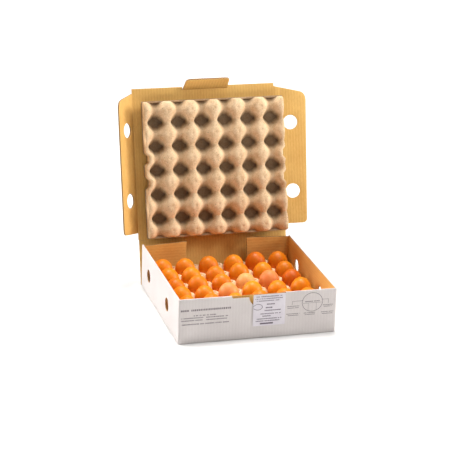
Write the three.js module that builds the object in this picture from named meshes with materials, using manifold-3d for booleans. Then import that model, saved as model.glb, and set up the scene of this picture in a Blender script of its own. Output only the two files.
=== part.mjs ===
// A corrugated cardboard egg box with its lid standing open.  A moulded pulp tray of brown eggs lies
// in the base and a second, empty tray stands in the lid with its cells facing forward.
// Millimetres, +Z up, +X to the right, the front wall towards -Y.  The origin is the middle of the
// underside of the base.

import * as THREE from 'three';
import { mergeVertices } from 'three/addons/utils/BufferGeometryUtils.js';
import Module from 'manifold-3d';

const wasm = await Module();
wasm.setup();

// ---- the box ----
const BOARD = 3; // corrugated board
const HALF_WIDTH = 157; // outer faces of the side walls
const HALF_DEPTH = 156; // outer faces of the front wall and of the shut back wall
const WALL = 91; // top of the walls
const WALL_END = 152.6; // rear end of the side walls, just inside the back wall
const CORNER_FLAP = 93; // flaps folded in from the side walls along the back
const CORNER_DROP = 4; // their top edge is lower at the fold
const RECESS_HALF = 51; // shallow recess in the front wall for the tuck tab
const RECESS_DEEP = 4.5;
const THUMB_RADIUS = 19; // half-moon thumb notch below the recess
const VENT_RADIUS = 13; // round vents in the side walls
const VENT_Y = [-63, 89];
const VENT_Z = 45;

// ---- the back wall and the lid ----
const LEAN = 15.5; // degrees that the back wall and the open lid lean back
const BACK_FOOT = 0.5; // the bottom crease is this far above the floor
const BACK_TALL = 91.1; // from the bottom crease to the lid's crease
const CREASE = 0.3; // slit kept open along each crease
const LID_LEFT = 158; // lid panel, from the middle to its side creases
const LID_RIGHT = 157.6;
const LID_LONG = 309; // from the lid's crease to its front edge
const LID_CORNER = 14.6; // cut off the front edge at its right end, down to the flap
const TAB_CREASE = 303; // the tuck tab's crease, from the lid's crease
const TAB_MIDDLE = -4;
const TAB_ROOT_HALF = 47;
const TAB_TIP_HALF = 46;
const TAB_LONG = 37;
const TAB_FOLD = 58; // degrees that the tab is folded forward
const FLAP_LOW = 15; // lower edge of the lid's side flaps, from the lid's crease
const FLAP_HIGH = 299; // their top edge at the fold
const FLAP_SLOPE = 0.234; // fall of the top edge, per millimetre away from the fold
const LEFT_FLAP = { side: -1, wideHigh: 58, wideLow: 58, ventOut: 26 };
const RIGHT_FLAP = { side: 1, wideHigh: 53, wideLow: 46.5, ventOut: 18.5 };
const LEFT_FOLD = 50; // degrees that the flaps are folded forward
const RIGHT_FOLD = 4.5;
const LID_VENT_RADIUS = 15;
const LID_VENT_UP = [83, 226];

// ---- the pulp trays ----
const PITCH = 48.8; // cell to cell, both ways
const COLUMNS = 6;
const ROWS = 5;
const STEPS = 5; // facets to a cell
const PULP = 2; // pulp thickness, measured along the tray's height
const TRAY_HALF_WIDTH = 149;
const POST = 41; // heights of the tray's under face: at a post,
const SADDLE_COLUMN = 25; // halfway from a post to the next one in its column,
const SADDLE_ROW = 17; // halfway to the next one in its row
const CELL = -4; // and where the cell's floor would be without its flat
const LIP = 22; // flat lip along the tray's front and back edges
const LIP_WIDE = 2.8;
const SKIRT = 10; // fall of the side edge below the outer posts
// place: the tray's middle; shift: how far its cells lie off that; narrow: above 1, the posts and
// ridges are narrower than the cells
const LOWER_TRAY = { place: [-0.6, 8, 3.4], halfDepth: 141.2, shift: 0, narrow: 1 };
const UPPER_TRAY = { place: [4.5, 143.5, 0.4], halfDepth: 139.5, shift: -2, narrow: 2 };

// ---- the eggs ----
const EGG_TALL = 56.5;
const EGG_RADIUS = 21.8;
const EGG_BLUNT = 0.11; // the blunt end is up
const EGG_SIDES = 10;
const EGG_RINGS = 8;
const EGG_GAP = 0.5; // between an egg and its cell

// ---- the paper seal on the front wall ----
const SEAL = { left: -11, right: 53, low: 25.5, high: 90, thick: 0.4, gap: 0.3 };

const rad = THREE.MathUtils.degToRad;

function board(hex, roughness = 0.85) {
  return new THREE.MeshStandardMaterial({ color: hex, roughness, metalness: 0 });
}
const KRAFT = 0xd9a055;
const WHITE = 0xe9e6e4;
const PULP_BROWN = 0xcda47c;

function mesh(name, geometry, material) {
  const made = new THREE.Mesh(geometry, material);
  made.name = name;
  return made;
}

// ---- joining solids ----
function toSolid(geometry) {
  const bare = geometry.clone();
  bare.deleteAttribute('normal');
  bare.deleteAttribute('uv');
  const merged = mergeVertices(bare, 1e-4);
  return new wasm.Manifold(new wasm.Mesh({
    numProp: 3,
    vertProperties: new Float32Array(merged.attributes.position.array),
    triVerts: new Uint32Array(merged.index.array),
  }));
}

function toGeometry(solid) {
  const { vertProperties, triVerts } = solid.getMesh();
  const made = new THREE.BufferGeometry();
  made.setAttribute('position', new THREE.BufferAttribute(new Float32Array(vertProperties), 3));
  made.setIndex(Array.from(triVerts));
  made.computeVertexNormals();
  return made;
}

function joined(geometries) {
  let whole = toSolid(geometries[0]);
  for (const next of geometries.slice(1)) {
    whole = whole.add(toSolid(next));
  }
  return toGeometry(whole);
}

// ---- flat board cut to an outline ----
function sheet(shape) {
  return new THREE.ExtrudeGeometry(shape, { depth: BOARD, bevelEnabled: false, curveSegments: 10 });
}

function polygon(points) {
  return new THREE.Shape(points.map(([x, y]) => new THREE.Vector2(x, y)));
}

function roundHole(shape, x, y, radius) {
  const hole = new THREE.Path();
  hole.absarc(x, y, radius, 0, 2 * Math.PI, true);
  shape.holes.push(hole);
}

function block(x0, x1, y0, y1, z0, z1) {
  const made = new THREE.BoxGeometry(x1 - x0, y1 - y0, z1 - z0);
  made.translate((x0 + x1) / 2, (y0 + y1) / 2, (z0 + z1) / 2);
  return made;
}

// Turns a sheet drawn in X and Y to stand in the X-Z plane, its faces at y and y + BOARD.
function standAcross(geometry, y) {
  geometry.rotateX(Math.PI / 2);
  geometry.translate(0, y + BOARD, 0);
  return geometry;
}

// Turns a sheet drawn in X and Y to stand in the Y-Z plane, its faces at x and x + BOARD.
function standAlong(geometry, x) {
  geometry.rotateX(Math.PI / 2);
  geometry.rotateZ(Math.PI / 2);
  geometry.translate(x, 0, 0);
  return geometry;
}

function frontWall() {
  const floor = WALL - RECESS_DEEP;
  const shape = new THREE.Shape();
  shape.moveTo(-HALF_WIDTH, 0);
  shape.lineTo(HALF_WIDTH, 0);
  shape.lineTo(HALF_WIDTH, WALL);
  shape.lineTo(RECESS_HALF + 2, WALL);
  shape.lineTo(RECESS_HALF, floor);
  shape.lineTo(THUMB_RADIUS, floor);
  shape.absarc(0, floor, THUMB_RADIUS, 0, Math.PI, true);
  shape.lineTo(-RECESS_HALF, floor);
  shape.lineTo(-RECESS_HALF - 2, WALL);
  shape.lineTo(-HALF_WIDTH, WALL);
  shape.closePath();
  return standAcross(sheet(shape), -HALF_DEPTH);
}

function sideWall(x) {
  const shape = polygon([[-HALF_DEPTH, 0], [WALL_END, 0], [WALL_END, WALL], [-HALF_DEPTH, WALL]]);
  for (const y of VENT_Y) {
    roundHole(shape, y, VENT_Z, VENT_RADIUS);
  }
  return standAlong(sheet(shape), x);
}

function cornerFlap(side) {
  const fold = side * HALF_WIDTH;
  const free = side * (HALF_WIDTH - CORNER_FLAP);
  const low = BOARD + 0.6;
  const points = [[fold, low], [free + side * 3, low], [free, WALL - 0.3], [fold, WALL - CORNER_DROP]];
  if (side > 0) {
    points.reverse();
  }
  return standAcross(sheet(polygon(points)), WALL_END - BOARD);
}

function baseGeometry() {
  return joined([
    block(-HALF_WIDTH, HALF_WIDTH, -HALF_DEPTH, WALL_END, 0, BOARD),
    frontWall(),
    sideWall(-HALF_WIDTH),
    sideWall(HALF_WIDTH - BOARD),
    cornerFlap(-1),
    cornerFlap(1),
  ]);
}

// ---- the lid's panel, tab and flaps, drawn lying flat with their inner face at z = 0 ----
function lidSheet(shape) {
  const made = sheet(shape);
  made.translate(0, 0, -BOARD);
  return made;
}

function lidPanel() {
  const slotLeft = TAB_MIDDLE - TAB_ROOT_HALF - 0.6;
  const slotRight = TAB_MIDDLE + TAB_ROOT_HALF + 0.6;
  const corner = LID_RIGHT - LID_CORNER;
  return lidSheet(polygon([
    [-LID_LEFT, CREASE], [LID_RIGHT, CREASE],
    [LID_RIGHT, FLAP_HIGH], [corner, FLAP_HIGH + FLAP_SLOPE * LID_CORNER], [corner, LID_LONG],
    [slotRight, LID_LONG], [slotRight, TAB_CREASE],
    [slotLeft, TAB_CREASE], [slotLeft, LID_LONG],
    [-LID_LEFT, LID_LONG],
  ]));
}

function tuckTab() {
  const bend = 11;
  const shape = new THREE.Shape();
  shape.moveTo(-TAB_ROOT_HALF, CREASE);
  shape.lineTo(TAB_ROOT_HALF, CREASE);
  shape.lineTo(TAB_TIP_HALF, TAB_LONG - bend);
  shape.quadraticCurveTo(TAB_TIP_HALF, TAB_LONG, TAB_TIP_HALF - bend, TAB_LONG);
  shape.lineTo(bend - TAB_TIP_HALF, TAB_LONG);
  shape.quadraticCurveTo(-TAB_TIP_HALF, TAB_LONG, -TAB_TIP_HALF, TAB_LONG - bend);
  shape.closePath();
  return lidSheet(shape);
}

// A side flap of the lid.  It reaches out to the right from its crease at x = 0, and a flap for the
// left is the same one turned over.
function sideFlap({ side, wideHigh, wideLow, ventOut }) {
  const lowBend = 10;
  const highBend = 17;
  const top = FLAP_HIGH - FLAP_SLOPE * wideHigh;
  const bendStart = wideHigh - highBend * 0.8;
  const shape = new THREE.Shape();
  shape.moveTo(CREASE, FLAP_LOW);
  shape.lineTo(wideLow - lowBend, FLAP_LOW);
  shape.quadraticCurveTo(wideLow, FLAP_LOW, wideLow, FLAP_LOW + lowBend);
  shape.lineTo(wideHigh, top - highBend);
  shape.quadraticCurveTo(wideHigh, top, bendStart, FLAP_HIGH - FLAP_SLOPE * bendStart);
  shape.lineTo(CREASE, FLAP_HIGH);
  shape.closePath();
  for (const up of LID_VENT_UP) {
    roundHole(shape, ventOut, up, LID_VENT_RADIUS);
  }
  const made = lidSheet(shape);
  if (side < 0) {
    made.rotateY(Math.PI);
    made.translate(0, 0, -BOARD);
  }
  return made;
}

// ---- the pulp trays ----
// How much of a post's ridge there is at a distance from it, from 1 on the ridge to 0 in the cell.
function ridge(distance, narrow) {
  return ((1 + Math.cos((2 * Math.PI * distance) / PITCH)) / 2) ** narrow;
}

// Height of the under face, blended from the four heights that repeat with the cells.
function pulpHeight(x, y, { shift, narrow }) {
  const across = ridge(x, narrow);
  const down = ridge(y - shift - PITCH / 2, narrow);
  const valley = CELL + (SADDLE_COLUMN - CELL) * across;
  const crest = SADDLE_ROW + (POST - SADDLE_ROW) * across;
  return Math.max(0, valley + (crest - valley) * down);
}

function trayLines({ shift, halfDepth }) {
  const acrossLines = [-TRAY_HALF_WIDTH];
  for (let i = 0; i <= COLUMNS * STEPS; i += 1) {
    acrossLines.push((i / STEPS - COLUMNS / 2) * PITCH);
  }
  acrossLines.push(TRAY_HALF_WIDTH);
  const first = shift - (ROWS * PITCH) / 2;
  const last = shift + (ROWS * PITCH) / 2;
  const inner = halfDepth - LIP_WIDE;
  const downLines = [-halfDepth, -inner, (first - inner) / 2];
  for (let j = 0; j <= ROWS * STEPS; j += 1) {
    downLines.push(first + (j / STEPS) * PITCH);
  }
  downLines.push((last + inner) / 2, inner, halfDepth);
  return { acrossLines, downLines };
}

function trayHeights(tray) {
  const { acrossLines, downLines } = trayLines(tray);
  const limit = (COLUMNS * PITCH) / 2;
  const heights = downLines.map((y) => acrossLines.map((x) => {
    if (Math.abs(y) >= tray.halfDepth - LIP_WIDE) {
      return LIP;
    }
    const inside = THREE.MathUtils.clamp(x, -limit, limit);
    const height = pulpHeight(inside, y, tray);
    return Math.abs(x) > limit ? Math.max(2, height - SKIRT) : height;
  }));
  return { acrossLines, downLines, heights };
}

// A closed shell between the under face and the same face raised by the pulp's thickness.
function trayGeometry(tray) {
  const { acrossLines, downLines, heights } = trayHeights(tray);
  const wide = acrossLines.length;
  const deep = downLines.length;
  const points = [];
  for (const raised of [0, PULP]) {
    for (let j = 0; j < deep; j += 1) {
      for (let i = 0; i < wide; i += 1) {
        points.push(acrossLines[i], downLines[j], heights[j][i] + raised);
      }
    }
  }
  const faces = [];
  const upper = wide * deep;
  const quad = (a, b, c, d) => faces.push(a, b, c, a, c, d);
  for (let j = 0; j + 1 < deep; j += 1) {
    for (let i = 0; i + 1 < wide; i += 1) {
      const a = j * wide + i;
      quad(a, a + wide, a + wide + 1, a + 1);
      quad(upper + a, upper + a + 1, upper + a + wide + 1, upper + a + wide);
    }
  }
  for (let i = 0; i + 1 < wide; i += 1) {
    const far = (deep - 1) * wide + i;
    quad(i, i + 1, upper + i + 1, upper + i);
    quad(far + 1, far, upper + far, upper + far + 1);
  }
  for (let j = 0; j + 1 < deep; j += 1) {
    const near = j * wide;
    const far = near + wide - 1;
    quad(near + wide, near, upper + near, upper + near + wide);
    quad(far, far + wide, upper + far + wide, upper + far);
  }
  const made = new THREE.BufferGeometry();
  made.setAttribute('position', new THREE.Float32BufferAttribute(points, 3));
  made.setIndex(faces);
  made.computeVertexNormals();
  return made;
}

// Top of the faceted tray at a point, split into the same triangles as its mesh.
function trayTop(field, x, y) {
  const { acrossLines, downLines, heights } = field;
  let i = 0;
  while (i + 2 < acrossLines.length && acrossLines[i + 1] < x) i += 1;
  let j = 0;
  while (j + 2 < downLines.length && downLines[j + 1] < y) j += 1;
  const s = (x - acrossLines[i]) / (acrossLines[i + 1] - acrossLines[i]);
  const t = (y - downLines[j]) / (downLines[j + 1] - downLines[j]);
  const [a, b] = [heights[j][i], heights[j][i + 1]];
  const [d, c] = [heights[j + 1][i], heights[j + 1][i + 1]];
  const height = s > t ? a + (b - a) * s + (c - b) * t : a + (c - d) * s + (d - a) * t;
  return height + PULP;
}

// ---- the eggs ----
function eggRadius(turn, scale) {
  return EGG_RADIUS * scale * Math.sin(turn) * (1 - EGG_BLUNT * Math.cos(turn));
}

function eggHeight(turn, scale) {
  return (EGG_TALL * scale * (1 - Math.cos(turn))) / 2;
}

function eggGeometry(scale) {
  const profile = [];
  for (let k = 0; k <= EGG_RINGS; k += 1) {
    const turn = (Math.PI * k) / EGG_RINGS;
    const onAxis = k === 0 || k === EGG_RINGS;
    profile.push(new THREE.Vector2(onAxis ? 0 : eggRadius(turn, scale), eggHeight(turn, scale)));
  }
  const made = new THREE.LatheGeometry(profile, EGG_SIDES);
  made.rotateX(Math.PI / 2);
  return made;
}

// Lowest height at which an egg of this size rests in the cell at x, y of the tray.
function eggSeat(field, x, y, scale) {
  let seat = 0;
  for (let k = 1; k < 18; k += 1) {
    const turn = (Math.PI * k) / 18;
    for (let m = 0; m < 24; m += 1) {
      const way = (Math.PI * m) / 12;
      const reach = eggRadius(turn, scale);
      const top = trayTop(field, x + reach * Math.cos(way), y + reach * Math.sin(way));
      seat = Math.max(seat, top - eggHeight(turn, scale));
    }
  }
  return seat + EGG_GAP;
}

// Eggs are graded alike but none is quite the size of the next.
function eggScale(row, column) {
  const large = row === 0 && column === 4;
  return large ? 1.05 : 1 + 0.022 * Math.sin(2.3 * row + 4.1 * column);
}

function eggColour(row, column) {
  const shell = new THREE.Color(0xdd7a2c);
  const pale = (row === 2 && column === 3) || (row === 3 && column === 2);
  const shade = pale ? 0.35 : 0.05 * (1 + Math.sin(3.7 * row + 1.9 * column));
  return shell.lerp(new THREE.Color(0xf3c08a), shade);
}

// ---- putting it together ----
const box = new THREE.Group();
box.add(mesh('box_base', baseGeometry(), board(WHITE)));

const sealGeometry = block(
  SEAL.left, SEAL.right, -HALF_DEPTH - SEAL.gap - SEAL.thick, -HALF_DEPTH - SEAL.gap, SEAL.low, SEAL.high,
);
box.add(mesh('front_seal', sealGeometry, board(0xe8e4ee, 0.6)));

const lowerField = trayHeights(LOWER_TRAY);
const lowerTray = mesh('tray_lower', trayGeometry(LOWER_TRAY), board(PULP_BROWN, 0.95));
lowerTray.position.set(...LOWER_TRAY.place);
box.add(lowerTray);

for (let row = 0; row < ROWS; row += 1) {
  for (let column = 0; column < COLUMNS; column += 1) {
    const scale = eggScale(row, column);
    const x = (column - (COLUMNS - 1) / 2) * PITCH;
    const y = ((ROWS - 1) / 2 - row) * PITCH + LOWER_TRAY.shift;
    const shell = new THREE.MeshStandardMaterial({ color: eggColour(row, column), roughness: 0.45 });
    const egg = mesh(`egg_r${row + 1}c${column + 1}`, eggGeometry(scale), shell);
    egg.position.set(x, y, eggSeat(lowerField, x, y, scale)).add(lowerTray.position);
    box.add(egg);
  }
}

// The back wall turns on the crease at its foot.  In this group +Y runs up the wall and +Z points
// to the front, and the wall's outer face is at z = 0.
const back = new THREE.Group();
back.position.set(0, HALF_DEPTH, BACK_FOOT);
back.rotation.x = rad(90 - LEAN);
box.add(back);
back.add(mesh('back_wall', block(-HALF_WIDTH, HALF_WIDTH, 0, BACK_TALL - CREASE, 0, BOARD), board(KRAFT)));

// The lid stands in line with the back wall.  Its crease is on the inner faces.
const lid = new THREE.Group();
lid.position.set(0, BACK_TALL, BOARD);
back.add(lid);
lid.add(mesh('lid_panel', lidPanel(), board(KRAFT)));

const upperTray = mesh('tray_upper', trayGeometry(UPPER_TRAY), board(PULP_BROWN, 0.95));
upperTray.position.set(...UPPER_TRAY.place);
lid.add(upperTray);

const tab = mesh('lid_tab', tuckTab(), board(KRAFT));
tab.position.set(TAB_MIDDLE, TAB_CREASE, 0);
tab.rotation.x = rad(TAB_FOLD);
lid.add(tab);

const leftFlap = mesh('lid_flap_left', sideFlap(LEFT_FLAP), board(KRAFT));
leftFlap.position.set(-LID_LEFT, 0, 0);
leftFlap.rotation.y = rad(LEFT_FOLD);
lid.add(leftFlap);

const rightFlap = mesh('lid_flap_right', sideFlap(RIGHT_FLAP), board(KRAFT));
rightFlap.position.set(LID_RIGHT, 0, 0);
rightFlap.rotation.y = -rad(RIGHT_FOLD);
lid.add(rightFlap);

export default box;
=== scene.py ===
import math
from functools import partial

import bmesh
import bpy
from mathutils import Matrix, Vector, noise
from mathutils.geometry import delaunay_2d_cdt


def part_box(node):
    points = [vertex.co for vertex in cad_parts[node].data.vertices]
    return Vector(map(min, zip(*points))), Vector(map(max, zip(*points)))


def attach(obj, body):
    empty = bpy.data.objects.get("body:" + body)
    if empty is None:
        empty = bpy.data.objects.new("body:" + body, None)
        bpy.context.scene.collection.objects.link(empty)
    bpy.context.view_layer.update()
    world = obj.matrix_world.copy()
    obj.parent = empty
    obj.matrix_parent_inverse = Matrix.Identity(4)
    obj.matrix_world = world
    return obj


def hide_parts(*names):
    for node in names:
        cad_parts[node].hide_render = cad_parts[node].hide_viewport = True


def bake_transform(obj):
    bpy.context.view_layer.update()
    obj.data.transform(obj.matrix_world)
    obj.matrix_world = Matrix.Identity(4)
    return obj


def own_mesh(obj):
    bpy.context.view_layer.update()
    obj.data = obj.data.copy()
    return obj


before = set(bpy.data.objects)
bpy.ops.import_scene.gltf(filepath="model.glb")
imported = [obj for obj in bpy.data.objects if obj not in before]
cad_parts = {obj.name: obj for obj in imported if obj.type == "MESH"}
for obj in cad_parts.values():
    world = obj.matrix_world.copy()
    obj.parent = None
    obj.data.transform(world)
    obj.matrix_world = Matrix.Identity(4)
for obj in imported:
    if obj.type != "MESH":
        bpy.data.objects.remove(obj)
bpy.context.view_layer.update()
print("frame loaded:", len(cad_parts), "solids")

mm = 0.001
boardThick = 3.0


def tint(red, green, blue):  # a colour as seen on a screen, 0 to 255, made linear
    linear = [((c / 255 + 0.055) / 1.055) ** 2.4 if c > 10 else c / 3295 for c in (red, green, blue)]
    return (*linear, 1.0)


def setInputs(node, inputs):
    for key, value in inputs.items():
        if isinstance(value, bpy.types.NodeSocket):
            node.id_data.links.new(value, node.inputs[key])
        else:
            node.inputs[key].default_value = value


def addNode(tree, kind, inputs=None, **settings):
    made = tree.nodes.new(kind)
    for key, value in settings.items():
        setattr(made, key, value)
    setInputs(made, inputs or {})
    return made


def calc(operation, *values):  # in the tree of the first value that is a socket
    tree = next(value.id_data for value in values if isinstance(value, bpy.types.NodeSocket))
    return addNode(tree, "ShaderNodeMath", dict(enumerate(values)), operation=operation).outputs[0]


plus, minus, times, over = (partial(calc, kind) for kind in ("ADD", "SUBTRACT", "MULTIPLY", "DIVIDE"))
timesAdd, absolute, smaller, larger = (
    partial(calc, kind) for kind in ("MULTIPLY_ADD", "ABSOLUTE", "MINIMUM", "MAXIMUM"))


def ramp(value, low, high, toLow=0.0, toHigh=1.0):  # a soft step from low to high
    inputs = {"Value": value, "From Min": low, "From Max": high, "To Min": toLow, "To Max": toHigh}
    made = addNode(value.id_data, "ShaderNodeMapRange", inputs, interpolation_type="SMOOTHSTEP")
    return made.outputs[0]


def mixColour(factor, first, second):
    inputs = {0: factor, 6: first, 7: second}
    return addNode(factor.id_data, "ShaderNodeMix", inputs, data_type="RGBA").outputs[2]


def noiseOn(vector, scale, detail=3.0, roughness=0.55):
    inputs = {"Vector": vector, "Scale": scale, "Detail": detail, "Roughness": roughness}
    return addNode(vector.id_data, "ShaderNodeTexNoise", inputs).outputs["Fac"]


def newMaterial(name):
    material = bpy.data.materials.new(name)
    material.use_nodes = True
    tree = material.node_tree
    tree.nodes.clear()
    shader = addNode(tree, "ShaderNodeBsdfPrincipled")
    addNode(tree, "ShaderNodeOutputMaterial", {"Surface": shader.outputs["BSDF"]})
    place = addNode(tree, "ShaderNodeTexCoord").outputs["Object"]
    return material, tree, shader, place


def setSurface(shader, colour, roughness, specular):
    setInputs(shader, {"Base Color": colour, "Roughness": roughness, "Specular IOR Level": specular})


def addBump(shader, height, distance):
    made = addNode(shader.id_data, "ShaderNodeBump", {"Height": height, "Distance": distance})
    setInputs(shader, {"Normal": made.outputs["Normal"]})


def attributeValue(tree, name):
    return addNode(tree, "ShaderNodeAttribute", attribute_name=name).outputs["Fac"]


flutePitch = 0.0061  # metres from one flute of the board to the next
fibreScale = (900, 120, 1)  # fibres lie along the flutes


def sheetPlace(tree):  # metres across the flutes and along them, from the board's own UV map
    return addNode(tree, "ShaderNodeUVMap", uv_map="sheet").outputs["UV"]


def fluteLines(sheet):
    across = addNode(sheet.id_data, "ShaderNodeSeparateXYZ", {0: sheet}).outputs[0]
    return calc("SINE", times(across, 2 * math.pi / flutePitch))


kraftLook = {
    "light": tint(240, 196, 116),
    "deep": tint(218, 165, 88),
    "speck": tint(120, 76, 36),
    "speckShare": 0.35,
    "fibreShare": 0.55,
    "fibreDetail": (4.0, 0.6),
    "cloudScale": 14.0,
    "cloudDetail": 3.0,
    "lightFrom": 0.75,
    "roughness": (0.74, 0.9),
    "roughBy": "fibres",
    "specular": 0.3,
    "relief": 0.0001,
}
whiteLook = {
    "light": tint(222, 215, 213),
    "deep": tint(210, 202, 200),
    "fibreShare": 0.4,
    "fibreDetail": (3.0, 0.55),
    "cloudScale": 18.0,
    "cloudDetail": 2.0,
    "lightFrom": 0.8,
    "roughness": (0.55, 0.7),
    "roughBy": "clouds",
    "specular": 0.35,
    "relief": 0.00006,
}
fluteShade = 0.05  # how much the flutes show through as colour
fluteRelief = 0.3  # and as relief


def linerPaper(name, look):
    material, tree, shader, place = newMaterial(name)
    sheet = sheetPlace(tree)
    lines = fluteLines(sheet)
    stretched = addNode(tree, "ShaderNodeMapping", {"Vector": sheet, "Scale": fibreScale}).outputs[0]
    fibres = noiseOn(stretched, 1.0, *look["fibreDetail"])
    clouds = noiseOn(place, look["cloudScale"], look["cloudDetail"])
    mixed = timesAdd(fibres, look["fibreShare"], times(clouds, 1 - look["fibreShare"]))
    shade = ramp(timesAdd(lines, fluteShade, mixed), 0.25, look["lightFrom"])
    colour = mixColour(shade, look["deep"], look["light"])
    if "speck" in look:
        specks = ramp(noiseOn(place, 900.0, 2.0), 0.66, 0.74)
        colour = mixColour(times(specks, look["speckShare"]), colour, look["speck"])
    rough = ramp(fibres if look["roughBy"] == "fibres" else clouds, 0.2, 0.8, *look["roughness"])
    setSurface(shader, colour, rough, look["specular"])
    addBump(shader, timesAdd(lines, fluteRelief, fibres), look["relief"])
    return material


edgeLook = {
    "paper": tint(222, 176, 116),
    # painted shade inside the open flute channels of the cut edge
    "paintedShade": tint(112, 72, 38),
    "waveHeight": 0.3,  # shares of the board's thickness
    "waveWidth": (0.09, 0.16),
    "linerFrom": (0.34, 0.4),
    "roughness": 0.9,
    "specular": 0.2,
    "relief": 0.0006,
}


def cutEdge():  # a waved sheet between two flat ones
    material, tree, shader, place = newMaterial("cutEdge")
    depth = attributeValue(tree, "depth")
    middle = timesAdd(fluteLines(sheetPlace(tree)), edgeLook["waveHeight"], 0.5)
    wave = ramp(absolute(minus(depth, middle)), *edgeLook["waveWidth"], 1.0, 0.0)
    liner = ramp(absolute(minus(depth, 0.5)), *edgeLook["linerFrom"])
    paper = larger(wave, liner)
    shown = times(paper, ramp(noiseOn(place, 700.0), 0.2, 0.6, 0.8, 1.0))
    # painted shade: the flat edge is darkened where the flutes would leave open channels, where shade falls
    colour = mixColour(shown, edgeLook["paintedShade"], edgeLook["paper"])
    setSurface(shader, colour, edgeLook["roughness"], edgeLook["specular"])
    addBump(shader, paper, edgeLook["relief"])
    return material


pulpLook = {
    "fresh": tint(248, 219, 181),
    "dull": tint(214, 176, 133),
    # painted shade: the colour the pulp is darkened to deep in the tray's hollows, where shade falls
    "paintedShade": tint(46, 22, 4),
    "fleck": tint(112, 98, 92),
    "paintedShadeFrom": 0.034,  # metres above the tray's underside
    "paintedShadeTo": 0.009,
    "paintedShadeShare": 0.96,
    "fleckShare": 0.55,
    "roughness": 0.96,
    "specular": 0.04,
    "relief": 0.0007,
}


def mouldedPulp():
    look = pulpLook
    material, tree, shader, place = newMaterial("mouldedPulp")
    coarse = noiseOn(place, 45.0, 5.0, 0.62)
    fuzz = noiseOn(place, 420.0, 4.0, 0.7)
    flecks = ramp(noiseOn(place, 330.0, 1.0), 0.69, 0.75)
    mixed = timesAdd(fuzz, 0.5, times(coarse, 0.5))
    colour = mixColour(ramp(mixed, 0.3, 0.68), look["dull"], look["fresh"])
    # painted shade: the pulp is darkened towards the bottom of the tray's hollows, where shade falls
    deep = ramp(attributeValue(tree, "rise"), look["paintedShadeTo"], look["paintedShadeFrom"], look["paintedShadeShare"], 0.0)
    colour = mixColour(deep, colour, look["paintedShade"])
    colour = mixColour(times(flecks, look["fleckShare"]), colour, look["fleck"])
    setSurface(shader, colour, look["roughness"], look["specular"])
    addBump(shader, timesAdd(coarse, 1.6, fuzz), look["relief"])
    return material


shellLook = {
    "speckShare": 0.4,
    "roughness": (0.38, 0.48),
    "specular": 0.3,
    "glow": 0.08,
    "glowReach": 0.004,
    "relief": 0.00008,
}


def eggShell(name, light, deep, speck):
    look = shellLook
    material, tree, shader, place = newMaterial(name)
    clouds = noiseOn(place, 38.0, 4.0, 0.6)
    pores = noiseOn(place, 1500.0, 2.0)
    dots = ramp(noiseOn(place, 520.0, 1.0), 0.7, 0.76)
    mixed = plus(attributeValue(tree, "tone"), timesAdd(clouds, 0.5, -0.25))
    colour = mixColour(ramp(mixed, 0.0, 1.0), light, deep)
    colour = mixColour(times(dots, look["speckShare"]), colour, speck)
    setSurface(shader, colour, ramp(clouds, 0.3, 0.7, *look["roughness"]), look["specular"])
    setInputs(shader, {"Subsurface Weight": look["glow"], "Subsurface Scale": look["glowReach"]})
    addBump(shader, timesAdd(clouds, 0.8, pores), look["relief"])
    return material


def plainPaper(name, light, shade, roughness, relief):
    material, _, shader, place = newMaterial(name)
    grain = noiseOn(place, 900.0)
    mixed = timesAdd(grain, 0.5, times(noiseOn(place, 60.0), 0.5))
    setSurface(shader, mixColour(ramp(mixed, 0.3, 0.7), shade, light), roughness, 0.5)
    addBump(shader, grain, relief)
    return material


kraft = linerPaper("kraftLiner", kraftLook)
white = linerPaper("whiteLiner", whiteLook)
edge = cutEdge()
pulp = mouldedPulp()
brownShell = eggShell("brownShell", tint(236, 144, 16), tint(205, 86, 2), tint(146, 66, 10))
rosyShell = eggShell("rosyShell", tint(240, 158, 88), tint(224, 122, 66), tint(160, 84, 44))
paleShell = eggShell("paleShell", tint(246, 192, 124), tint(234, 154, 78), tint(182, 110, 56))
sealFace = plainPaper("sealFace", tint(228, 222, 228), tint(218, 211, 219), 0.5, 0.00003)
ink = plainPaper("ink", tint(138, 127, 130), tint(114, 104, 108), 0.7, 0.00002)
sealInk = plainPaper("sealInk", tint(120, 106, 118), tint(100, 88, 102), 0.7, 0.00002)
print("materials ready")


# places on the box, in millimetres
backTall = 91.1
leanAngle = math.radians(15.5)
upLid = Vector((0, math.sin(leanAngle), math.cos(leanAngle)))
offLid = Vector((0, -math.cos(leanAngle), math.sin(leanAngle)))
acrossX = Vector((1, 0, 0))
footCrease = Vector((0, 156, 0.5))
lidCrease = footCrease + backTall * upLid + boardThick * offLid


def onLid(x, up, out):  # along its crease, up it, and off its inner face
    return (x * acrossX + lidCrease + up * upLid + out * offLid) * mm


def onBackWall(x, up, out):
    return (x * acrossX + footCrease + up * upLid + (out + boardThick) * offLid) * mm


# meshes and pieces
def newObject(name, data):
    made = bpy.data.objects.new(name, data)
    bpy.context.scene.collection.objects.link(made)
    return made


def addPiece(name, mesh, body, nodes=()):
    mesh.name = name
    piece = newObject(name, mesh)
    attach(piece, body)
    if nodes:
        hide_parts(*nodes)
    return piece


def smoothBends(mesh, angle=38):  # rounded folds and rims are smooth, and flat faces stay flat
    mesh.polygons.foreach_set("use_smooth", [True] * len(mesh.polygons))
    mesh.set_sharp_from_angle(angle=math.radians(angle))


def setPoints(mesh, name, values):  # one value for every point
    mesh.attributes.new(name, "FLOAT", "POINT").data.foreach_set("value", values)


def mend(bm):
    bmesh.ops.remove_doubles(bm, verts=bm.verts, dist=1e-7)
    bmesh.ops.recalc_face_normals(bm, faces=bm.faces)


def toMesh(bm, name, *materials):
    mesh = bpy.data.meshes.new(name)
    bm.to_mesh(mesh)
    bm.free()
    for material in materials:
        mesh.materials.append(material)
    return mesh


def laySheet(mesh, sheetPlace):  # the board's UV map, from each corner's place
    uv = mesh.uv_layers.new(name="sheet")
    for item in mesh.loops:
        uv.data[item.index].uv = sheetPlace(mesh.vertices[item.vertex_index].co)


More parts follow.
